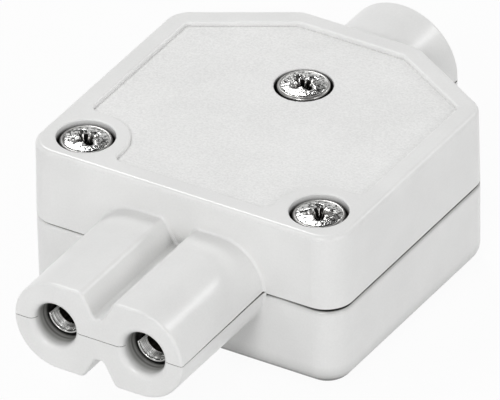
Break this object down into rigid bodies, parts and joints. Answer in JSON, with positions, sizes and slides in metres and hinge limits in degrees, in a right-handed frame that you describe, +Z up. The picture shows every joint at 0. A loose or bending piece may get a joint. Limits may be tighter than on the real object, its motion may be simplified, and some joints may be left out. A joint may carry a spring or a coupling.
{
  "type": "figure eight power connector",
  "caption": "Rewireable figure-eight appliance connector: split plastic shells held by screws, a lobed nose with sleeve contacts, and a round cord collar.",
  "frame": {"origin": "middle of the bounding box in X and Y, on the flat underside", "axes": "+Z up through the screws, -Y out of the nose towards the appliance, +Y out of the cord collar, +X to the right for someone who looks at the front of the nose"},
  "size_m": [0.0304, 0.0492, 0.015],
  "materials": {
    "shell": "fine matt moulded texture",
    "clamp_bar": "fine matt moulded texture",
    "case_screw": "zinc plated, bright",
    "insert": "turned",
    "contact": "nickel plated brass strip",
    "spring": "spring steel, plain",
    "terminal": "milled and turned",
    "terminal_screw": "zinc plated",
    "clamp_screw": "zinc plated"
  },
  "bodies": {
    "root": {"upper_shell": "shell", "lower_shell": "shell", "cord_clamp_bar": "clamp_bar", "case_screw_front_left": "case_screw", "case_screw_front_right": "case_screw", "case_screw_rear": "case_screw", "threaded_insert_front_left": "insert", "threaded_insert_front_right": "insert", "threaded_insert_rear": "insert", "contact_sleeve_left": "contact", "contact_sleeve_right": "contact", "contact_spring_left": "spring", "contact_spring_right": "spring", "terminal_block_left": "terminal", "terminal_block_right": "terminal", "terminal_screw_left": "terminal_screw", "terminal_screw_right": "terminal_screw", "cord_clamp_screw_left": "clamp_screw", "cord_clamp_screw_right": "clamp_screw"}
  },
  "joints": []
}
